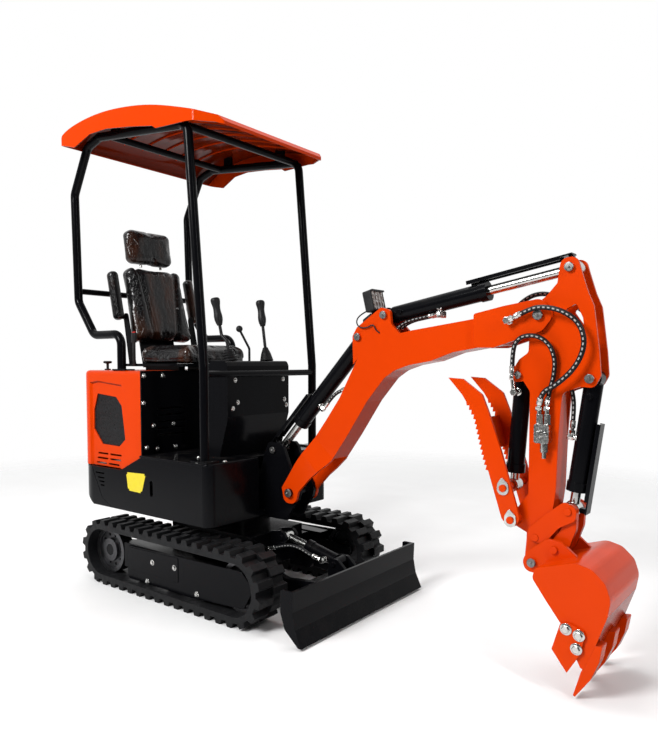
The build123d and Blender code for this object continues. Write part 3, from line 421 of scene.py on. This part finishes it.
def make_world():
    """White to the camera; its light is dimmer from behind the camera, so that faces turned away shade off."""
    world = bpy.data.worlds.new("studio")
    world.use_nodes = True
    tree = world.node_tree
    back = tree.nodes["Background"]
    coord = add(tree, "TexCoord")
    dot = add(tree, "VectorMath")
    dot.operation = "DOT_PRODUCT"
    dot.inputs[1].default_value = Vector(BRIGHT_WAY).normalized()
    fade = add(tree, "MapRange", From_Min=WORLD_TURN[0], From_Max=WORLD_TURN[1],
               To_Min=WORLD_LIGHT[0], To_Max=WORLD_LIGHT[1])
    path = add(tree, "LightPath")
    seen = add(tree, "Math")
    seen.operation = "MAXIMUM"
    tree.links.new(coord.outputs["Generated"], dot.inputs[0])
    tree.links.new(dot.outputs["Value"], fade.inputs["Value"])
    tree.links.new(fade.outputs["Result"], seen.inputs[0])
    tree.links.new(path.outputs["Is Camera Ray"], seen.inputs[1])
    tree.links.new(seen.outputs["Value"], back.inputs["Strength"])
    back.inputs["Color"].default_value = (1.0, 1.0, 1.0, 1.0)
    bpy.context.scene.world = world


def make_stage():
    bpy.context.scene.view_settings.view_transform = "Standard"
    make_world()
    shape = bmesh.new()
    bmesh.ops.create_grid(shape, x_segments=8, y_segments=8, size=FLOOR_HALF)
    mesh = bpy.data.meshes.new("studio_floor")
    shape.to_mesh(mesh)
    shape.free()
    mesh.materials.append(ground())
    floor = place("studio_floor", mesh)
    floor.location.z = -FLOOR_DROP
    for name, settings in LAMPS.items():
        area_light(name, *settings)


# Soft goods

VOXEL = 0.0065
CLOTH_FRAMES = 20
CLOTH_STIFFNESS = 18.0
# Cushion: heights of its pan, of the seam round its sides and of its top edge, and its top seams' offset
CUSHION_PAN = 1.17
CUSHION_PIPING = 1.185
CUSHION_EDGE = 1.215
CUSHION_SEAM = 0.135
# Back: its seams' offset at a height and their spread, and the shell's place at a height and its lean
BACK_SEAM = 0.085
BACK_SEAM_LOW = 1.33
BACK_SEAM_SPREAD = 0.12
BACK_SHELL = -0.66
BACK_SHELL_MIDDLE = 1.494
BACK_LEAN = 0.23


def bake(obj):
    """Applies every modifier to the mesh."""
    shown = obj.evaluated_get(bpy.context.evaluated_depsgraph_get())
    mesh = bpy.data.meshes.new_from_object(shown)
    obj.modifiers.clear()
    obj.data = mesh


def inflate(pad, held, pressure):
    """Blows a closed mesh up as cloth, with some of its points held."""
    group = pad.vertex_groups.new(name="held")
    group.add(held, 1.0, "REPLACE")
    cloth = pad.modifiers.new("Cloth", "CLOTH")
    cloth.settings.quality = 4
    cloth.settings.mass = 0.3
    cloth.settings.tension_stiffness = CLOTH_STIFFNESS
    cloth.settings.compression_stiffness = CLOTH_STIFFNESS
    cloth.settings.bending_stiffness = 1.5
    cloth.settings.use_pressure = True
    cloth.settings.uniform_pressure_force = pressure
    cloth.settings.vertex_group_mass = "held"
    cloth.settings.effector_weights.gravity = 0.0
    cloth.collision_settings.use_collision = False
    cloth.point_cache.frame_start = 1
    cloth.point_cache.frame_end = CLOTH_FRAMES
    for step in range(1, CLOTH_FRAMES + 1):
        bpy.context.scene.frame_set(step)
    bake(pad)
    bpy.context.scene.frame_set(1)


def plump(name, body, start, pinned, pressure, cap, sew, narrow):
    """Blows a pad up from its CAD solid, made smaller by the share start, and sews its seams in.

    No point moves by more than cap. narrow gives the share of the width that is left at a height from 0 to 1.
    """
    mesh = nodes[name].data.copy()
    mesh.materials.clear()
    low, high = (Vector(v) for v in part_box(name))
    middle = (low + high) / 2
    for v in mesh.vertices:
        v.co = middle + (v.co - middle) * start
        v.co.y = middle.y + (v.co.y - middle.y) * narrow((v.co.z - low.z) / (high.z - low.z))
    pad = place(name + "_pad", mesh)
    remesh = pad.modifiers.new("Remesh", "REMESH")
    remesh.mode = "VOXEL"
    remesh.voxel_size = VOXEL
    bake(pad)
    rest = [v.co.copy() for v in pad.data.vertices]
    inflate(pad, [i for i, p in enumerate(rest) if pinned(p)], pressure)
    pad.data.update()
    normals = [v.normal.copy() for v in pad.data.vertices]
    for v, home, normal in zip(pad.data.vertices, rest, normals):
        move = v.co - home
        if move.length > cap:
            v.co = home + move * (cap / move.length)
        v.co -= normal * sew(home)
    for polygon in pad.data.polygons:
        polygon.use_smooth = True
    smooth = pad.modifiers.new("Subdivision", "SUBSURF")
    smooth.levels = 1
    smooth.render_levels = 1
    pad.data.materials.append(VINYL_MAT)
    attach(pad, body)
    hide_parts(name)


def groove(distance, width, depth):
    """Depth of a sewn channel at a distance from its line."""
    return depth * math.exp(-((distance / width) ** 2))


def sew_cushion(p):
    """Two seams along the top and one round the sides."""
    if p.z > CUSHION_EDGE:
        return groove(abs(p.y) - CUSHION_SEAM, 0.009, 0.008)
    return groove(p.z - CUSHION_PIPING, 0.006, 0.005)


def sew_back(p):
    """Two seams that part the side rolls from the middle and draw together towards the seat."""
    return groove(abs(p.y) - BACK_SEAM - BACK_SEAM_SPREAD * (p.z - BACK_SEAM_LOW), 0.013, 0.013)


def sew_plain(p):
    return 0.0


def cushion_pan(p):
    return p.z < CUSHION_PAN


def back_shell(p):
    return p.x < BACK_SHELL - (p.z - BACK_SHELL_MIDDLE) * BACK_LEAN


def nowhere(p):
    return False


def straight(height):
    return 1.0


def shoulders(height):
    """Widest about half way up, drawn in to rounded shoulders."""
    return 1.0 - 0.15 * max(0.0, height - 0.55) ** 2 / 0.2 - 0.04 * (1.0 - height)


def crown(height):
    """A little narrower at the top and the bottom."""
    return 1.0 - 0.10 * abs(2.0 * height - 1.0) ** 3


def make_seat():
    plump("seat_cushion", "house", start=0.965, pinned=cushion_pan, pressure=3.0, cap=0.012, sew=sew_cushion,
          narrow=straight)
    plump("seat_back", "house", start=0.965, pinned=back_shell, pressure=3.0, cap=0.012, sew=sew_back,
          narrow=shoulders)
    plump("headrest", "house", start=0.955, pinned=nowhere, pressure=3.0, cap=0.008, sew=sew_plain,
          narrow=crown)
    for name in ("armrest_left", "armrest_right"):
        plump(name, name, start=0.955, pinned=nowhere, pressure=2.0, cap=0.004, sew=sew_plain,
              narrow=straight)


# Fasteners and pin heads

FRONT = (1, 0, 0)
UP = (0, 0, 1)
SIDES = (-1, 1)
BULK_FACE = -0.197
FLOOR_TOP = 0.700
CONSOLE_FACE = 0.209
CUTTER_FACE = 0.200
HOUSE_BOLT = 0.009
CONSOLE_BOLT = 0.008
COVER_BOLT = 0.009
CUTTER_BOLT = 0.013
BULK_BOLTS = [(0.415, 0.963), (0.355, 0.846), (0.231, 0.846), (0.400, 0.736), (0.335, 0.725), (0.217, 0.725),
              (0.412, 1.100), (0.295, 1.100)]
FLOOR_BOLTS = [(0.085, -0.305), (0.218, -0.424), (0.258, -0.412), (0.262, -0.373), (0.285, -0.319),
               (-0.077, -0.062)]
CONSOLE_BOLTS = [(-0.173, 1.080), (0.180, 1.079), (-0.157, 0.969), (0.190, 0.971), (0.205, 0.940),
                 (-0.190, 0.941)]
COVER_BOLTS = [(-0.106, 0.175, 0.443), (0.062, 0.180, 0.443), (-0.152, 0.069, 0.440), (0.218, 0.082, 0.440)]
CUTTER_BOLTS = [(1.854, 0.245), (1.899, 0.233), (1.891, 0.184)]
# Pins of each body: x, z, y of the outer face, radius
PINS = {
    "house": [(0.358, 0.735, 0.068, 0.016), (0.482, 0.539, 0.093, 0.020)],
    "boom": [(0.869, 1.281, 0.068, 0.016), (1.005, 1.372, 0.068, 0.016), (1.692, 1.343, 0.085, 0.018)],
    "arm": [(1.796, 1.511, 0.065, 0.016), (1.875, 1.111, 0.065, 0.016), (1.610, 1.121, 0.065, 0.014)],
    "bucket": [(1.688, 0.423, 0.098, 0.016)],
}


def piece(name, shape, body, material, crease=35.0):
    """Makes an object from a bmesh and puts it on a body, if one is given."""
    bmesh.ops.recalc_face_normals(shape, faces=shape.faces)
    mesh = bpy.data.meshes.new(name)
    shape.to_mesh(mesh)
    shape.free()
    for polygon in mesh.polygons:
        polygon.use_smooth = True
    mesh.set_sharp_from_angle(angle=math.radians(crease))
    mesh.materials.append(material)
    obj = place(name, mesh)
    if body:
        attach(obj, body)
    return obj


def lathe(shape, at, axis, profile, sides=18):
    """Adds a turned solid whose profile is (radius, height) pairs along an axis."""
    turn = Vector(axis).to_track_quat("Z", "Y")
    rows = []
    for radius, height in profile:
        spots = [Vector((radius * math.cos(a), radius * math.sin(a), height))
                 for a in (math.tau * k / sides for k in range(sides))]
        rows.append([shape.verts.new(Vector(at) + turn @ p) for p in spots])
    for low, high in zip(rows, rows[1:]):
        for k in range(sides):
            shape.faces.new((low[k], low[(k + 1) % sides], high[(k + 1) % sides], high[k]))
    shape.faces.new(rows[0])
    shape.faces.new(rows[-1])


def dome_bolt(shape, at, axis, r):
    lathe(shape, at, axis, [(1.5 * r, 0), (1.5 * r, 0.2 * r), (1.05 * r, 0.25 * r), (r, 0.5 * r),
                            (0.75 * r, 0.8 * r), (0.35 * r, 0.95 * r)])


def hex_bolt(shape, at, axis, r):
    lathe(shape, at, axis, [(1.6 * r, 0), (1.6 * r, 0.22 * r), (1.5 * r, 0.28 * r)])
    lathe(shape, at, axis, [(1.1 * r, 0.2 * r), (1.1 * r, 0.8 * r), (0.92 * r, 0.95 * r)], 6)


def pin_head(shape, at, axis, r):
    """Turned cap with a grease nipple."""
    lathe(shape, at, axis, [(1.06 * r, 0), (1.06 * r, 0.22 * r), (0.94 * r, 0.34 * r), (0.5 * r, 0.36 * r)])
    lathe(shape, at, axis, [(0.26 * r, 0.3 * r), (0.26 * r, 0.62 * r), (0.14 * r, 0.7 * r),
                            (0.2 * r, 0.82 * r)], 8)


def make_fasteners():
    house = bmesh.new()
    for y, z in BULK_BOLTS:
        for side in SIDES:
            dome_bolt(house, (BULK_FACE, side * y, z), FRONT, HOUSE_BOLT)
    for x, y in FLOOR_BOLTS:
        for side in SIDES:
            dome_bolt(house, (x, side * y, FLOOR_TOP), UP, HOUSE_BOLT)
    for y, z in CONSOLE_BOLTS:
        dome_bolt(house, (CONSOLE_FACE, y, z), FRONT, CONSOLE_BOLT)
    piece("house_bolts", house, "house", STEEL)
    covers = bmesh.new()
    for x, z, y in COVER_BOLTS:
        for side in SIDES:
            hex_bolt(covers, (x, side * y, z), (0, side, 0), COVER_BOLT)
    piece("cover_bolts", covers, "undercarriage", STEEL)
    cutters = bmesh.new()
    for x, z in CUTTER_BOLTS:
        for side in SIDES:
            hex_bolt(cutters, (x, side * CUTTER_FACE, z), (0, side, 0), CUTTER_BOLT)
    piece("cutter_bolts", cutters, "bucket", STEEL)
    for body, pins in PINS.items():
        heads = bmesh.new()
        for x, z, y, r in pins:
            for side in SIDES:
                pin_head(heads, (x, side * y, z), (0, side, 0), r)
        piece(body + "_pin_heads", heads, body, PIN_STEEL)


# Lamp glass, label and buckle

LAMP_AT = (0.915, 0.0, 1.437)
LAMP_TILT = -14
GLASS_FRONT = 0.0205
GLASS_HALF = (0.0448, 0.0398)
CUPS = (4, 3)
CUP_DEPTH = 0.0035
LABEL_FACE = -0.4403
LABEL_CORNERS = [(-0.314, 0.606), (-0.153, 0.612), (-0.189, 0.511), (-0.299, 0.514)]
LABEL_THICK = 0.0007
# Blocks of the buckle: low corner, high corner, bevel
BUCKLE_BLOCKS = [((-0.531, -0.243, 1.275), (-0.495, -0.227, 1.330), 0.005),
                 ((-0.524, -0.239, 1.145), (-0.502, -0.232, 1.290), 0.002)]
RELEASE_BLOCK = ((-0.526, -0.2405, 1.318), (-0.500, -0.2295, 1.336), 0.003)


def make_lamp_glass():
    """Pressed glass with rows of cups, in the lamp's recess."""
    shape = bmesh.new()
    bmesh.ops.create_grid(shape, x_segments=48, y_segments=44, size=1.0)
    for v in shape.verts:
        cup = 1.0
        for count, along in zip(CUPS, v.co):
            cup *= abs(math.sin(math.pi * (count / 2) * along))
        v.co = Vector((GLASS_FRONT + CUP_DEPTH * cup, GLASS_HALF[0] * v.co.x, GLASS_HALF[1] * v.co.y))
    glass = piece("lamp_glass", shape, "boom", LENS, 180.0)
    tilt = Matrix.Rotation(math.radians(LAMP_TILT), 4, "Y")
    glass.data.transform(Matrix.Translation(LAMP_AT) @ tilt)


def make_sticker():
    """Blank yellow label on the cowl's right side."""
    shape = bmesh.new()
    shape.faces.new([shape.verts.new((x, LABEL_FACE, z)) for x, z in LABEL_CORNERS])
    bmesh.ops.bevel(shape, geom=shape.verts[:], offset=0.010, segments=5, affect="VERTICES")
    bmesh.ops.solidify(shape, geom=shape.faces[:], thickness=LABEL_THICK)
    piece("blank_label", shape, "house", DECAL)


def rounded_block(shape, low, high, bevel):
    made = bmesh.ops.create_cube(shape, size=1.0)["verts"]
    middle = (Vector(low) + Vector(high)) / 2
    span = Vector(high) - Vector(low)
    for v in made:
        v.co = middle + Vector(a * b for a, b in zip(v.co, span))
    edges = list({e for v in made for e in v.link_edges})
    bmesh.ops.bevel(shape, geom=edges, offset=bevel, segments=3, affect="EDGES", profile=0.5)


def make_buckle():
    """Belt buckle on its stalk at the seat's right side, with a red release."""
    shape = bmesh.new()
    for block in BUCKLE_BLOCKS:
        rounded_block(shape, *block)
    piece("buckle", shape, "house", PLASTIC)
    shape = bmesh.new()
    rounded_block(shape, *RELEASE_BLOCK)
    piece("buckle_release", shape, "house", RELEASE)


# Hoses

ARM_HOSE = [(1.612, -0.098, 1.339), (1.650, -0.100, 1.356), (1.705, -0.104, 1.372), (1.785, -0.106, 1.356),
            (1.850, -0.104, 1.310), (1.872, -0.102, 1.232), (1.838, -0.101, 1.150), (1.768, -0.101, 1.085),
            (1.712, -0.090, 1.060), (1.702, -0.077, 1.016)]
THUMB_HOSE = [(1.596, -0.080, 1.130), (1.596, -0.083, 1.205), (1.616, -0.089, 1.258), (1.672, -0.092, 1.272),
              (1.728, -0.088, 1.250), (1.756, -0.077, 1.192), (1.752, -0.070, 1.120), (1.733, -0.069, 1.060),
              (1.731, -0.077, 1.016)]
FAR_HOSE = [(1.520, 0.098, 1.372), (1.560, 0.100, 1.415), (1.625, 0.103, 1.442), (1.700, 0.105, 1.425),
            (1.780, 0.105, 1.380), (1.850, 0.103, 1.310), (1.866, 0.098, 1.225), (1.836, 0.088, 1.150),
            (1.800, 0.080, 1.120)]
BLADE_HOSE = [(0.358, -0.078, 0.248), (0.410, -0.078, 0.264), (0.480, -0.075, 0.284), (0.545, -0.070, 0.276),
              (0.590, -0.064, 0.254), (0.632, -0.058, 0.242)]
SWING_HOSE = [(1.225, -0.016, 1.366), (1.165, -0.016, 1.356), (1.105, -0.018, 1.346), (1.055, -0.020, 1.322),
              (1.035, -0.020, 1.300)]
SWING_APART = 0.030
BOOM_HOSE = [(0.654, -0.020, 0.962), (0.690, -0.022, 1.000), (0.730, -0.025, 1.032), (0.778, -0.025, 1.048)]
BUCKET_HOSE = [(1.790, -0.020, 1.100), (1.803, -0.016, 1.060), (1.808, -0.012, 1.000), (1.803, -0.012, 0.930)]
LAMP_LEAD = [(0.905, -0.030, 1.398), (0.882, -0.050, 1.384), (0.862, -0.067, 1.355), (0.876, -0.068, 1.322),
             (0.922, -0.068, 1.318), (0.955, -0.067, 1.336), (0.968, -0.066, 1.305), (0.984, -0.061, 1.296)]
LEAD_RADIUS = 0.003
# Ports of each body: foot, axis, height
BOSSES = {
    "boom_barrel": [((0.622, -0.020, 0.965), (0.730, 0, -0.683), 0.030)],
    "bucket_barrel": [((1.822, -0.012, 0.893), (-0.99, 0, 0.13), 0.034)],
    "boom": [((1.580, -0.075, 1.326), (0, -1, 0), 0.034), ((1.504, 0.075, 1.355), (0, 1, 0), 0.034)],
    "arm": [((1.782, 0.055, 1.105), (0, 1, 0), 0.036)],
    "thumb_barrel": [((1.605, -0.040, 1.057), (0, -1, 0), 0.050)],
    "arm_barrel": [((1.252, -0.016, 1.392), (0, 0, -1), 0.036), ((1.252, 0.014, 1.392), (0, 0, -1), 0.036)],
    "blade": [((0.662, -0.036, 0.236), (0, -1, 0), 0.030)],
}
# Bent steel pipe from the thumb cylinder's port up to its hose
THUMB_PIPE = [(1.605, -0.080, 1.050), (1.600, -0.080, 1.080), (1.596, -0.080, 1.112)]
THUMB_PIPE_RADIUS = 0.008
# Hoses: route, radius, first and second body, and the two points between which it passes from the first body to
# the second
HOSES = {
    "boom_hose": (BOOM_HOSE, 0.0080, "boom_barrel", "boom", (0.66, -0.02, 0.97), (0.77, -0.02, 1.05)),
    "bucket_hose": (BUCKET_HOSE, 0.0080, "arm", "bucket_barrel", (1.79, -0.02, 1.09), (1.80, -0.01, 0.94)),
    "arm_hose": (ARM_HOSE, 0.0095, "boom", "arm", (1.60, -0.1, 1.38), (1.77, -0.1, 1.25)),
    "thumb_hose": (THUMB_HOSE, 0.0085, "thumb_barrel", "arm", (1.596, -0.08, 1.15), (1.70, -0.08, 1.27)),
    "far_hose": (FAR_HOSE, 0.0095, "boom", "arm", (1.58, 0.1, 1.40), (1.77, 0.1, 1.27)),
    "blade_hose": (BLADE_HOSE, 0.0085, "undercarriage", "blade", (0.38, -0.078, 0.26), (0.60, -0.06, 0.25)),
}


def route(points):
    """Points along a smooth line whose control points are given."""
    curve = bpy.data.curves.new("route", "CURVE")
    curve.dimensions = "3D"
    curve.resolution_u = 9
    spline = curve.splines.new("NURBS")
    spline.points.add(len(points) - 1)
    for point, at in zip(spline.points, points):
        point.co = (*at, 1.0)
    spline.order_u = 3
    spline.use_endpoint_u = True
    holder = bpy.data.objects.new("route", curve)
    mesh = bpy.data.meshes.new_from_object(holder)
    line = [v.co.copy() for v in mesh.vertices]
    bpy.data.objects.remove(holder)
    bpy.data.meshes.remove(mesh)
    return line


def sweep(shape, line, radius, sides=14):
    """Adds a round tube along a line, with length and girth as its UV; half way round faces -Y."""
    layer = shape.loops.layers.uv.verify()
    across = Vector((0.0, 1.0, 0.0))
    turns = [math.tau * k / sides for k in range(sides)]
    rows = []
    for i, at in enumerate(line):
        ahead = (line[min(i + 1, len(line) - 1)] - line[max(i - 1, 0)]).normalized()
        across = (across - ahead * across.dot(ahead)).normalized()
        up = ahead.cross(across)
        rows.append([shape.verts.new(at + (across * math.cos(a) + up * math.sin(a)) * radius) for a in turns])
    run = 0.0
    for i in range(len(line) - 1):
        step = (line[i + 1] - line[i]).length
        for k in range(sides):
            n = (k + 1) % sides
            face = shape.faces.new((rows[i][k], rows[i][n], rows[i + 1][n], rows[i + 1][k]))
            spots = ((run, k), (run, k + 1), (run + step, k + 1), (run + step, k))
            for loop, (u, v) in zip(face.loops, spots):
                loop[layer].uv = (u, v / sides)
        run += step
    shape.faces.new(rows[0])
    shape.faces.new(rows[-1])
    return run


def crimp(shape, at, axis, r):
    """Swaged sleeve and hex nut from a hose's end outwards."""
    axis = Vector(axis).normalized()
    start = Vector(at) - axis * 0.026
    lathe(shape, start, axis, [(r, 0), (1.28 * r, 0.002), (1.28 * r, 0.010), (1.2 * r, 0.012), (1.28 * r, 0.014),
                               (1.28 * r, 0.027), (0.85 * r, 0.031), (0.85 * r, 0.044)])
    lathe(shape, start, axis, [(1.3 * r, 0.036), (1.4 * r, 0.038), (1.4 * r, 0.050), (1.3 * r, 0.052)], 6)


def hose(name, points, radius, a, b, start, end):
    """A hose from body a to body b, swept along its route, with a crimped fitting at each end."""
    line = route(points)
    shape = bmesh.new()
    length = sweep(shape, line, radius)
    cover = piece(name, shape, None, HOSE, 60.0)
    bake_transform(cover)
    for body, tip, back in ((a, line[0], line[1]), (b, line[-1], line[-2])):
        fitting = bmesh.new()
        crimp(fitting, tip, tip - back, radius)
        piece(name + "_" + body + "_fitting", fitting, body, STEEL)


def make_bosses():
    """Ports on the plates and barrels, each a hex union standing on a round foot."""
    for body, ports in BOSSES.items():
        shape = bmesh.new()
        for at, axis, height in ports:
            lathe(shape, at, axis, [(0.015, 0), (0.015, 0.004), (0.010, 0.006), (0.010, height - 0.004)])
            lathe(shape, at, axis, [(0.013, height - 0.022), (0.0145, height - 0.020), (0.0145, height),
                                    (0.012, height + 0.003)], 6)
        if body == "thumb_barrel":
            sweep(shape, route(THUMB_PIPE), THUMB_PIPE_RADIUS)
        piece(body + "_ports", shape, body, STEEL)


def make_lamp_lead():
    line = route(LAMP_LEAD)
    shape = bmesh.new()
    length = sweep(shape, line, LEAD_RADIUS, 10)
    lead = piece("lamp_lead", shape, "boom", PLASTIC, 60.0)


def make_hoses():
    make_bosses()
    make_lamp_lead()
    for name, facts in HOSES.items():
        hose(name, *facts)
    for k in range(2):
        points = [(x, y + k * SWING_APART, z) for x, y, z in SWING_HOSE]
        hose(f"swing_hose_{k}", points, 0.0075, "arm_barrel", "boom", (1.20, 0.0, 1.36), (1.06, 0.0, 1.32))


make_camera()
make_stage()
dress_nodes()
make_hoses()
make_fasteners()
make_lamp_glass()
make_sticker()
make_buckle()
make_seat()
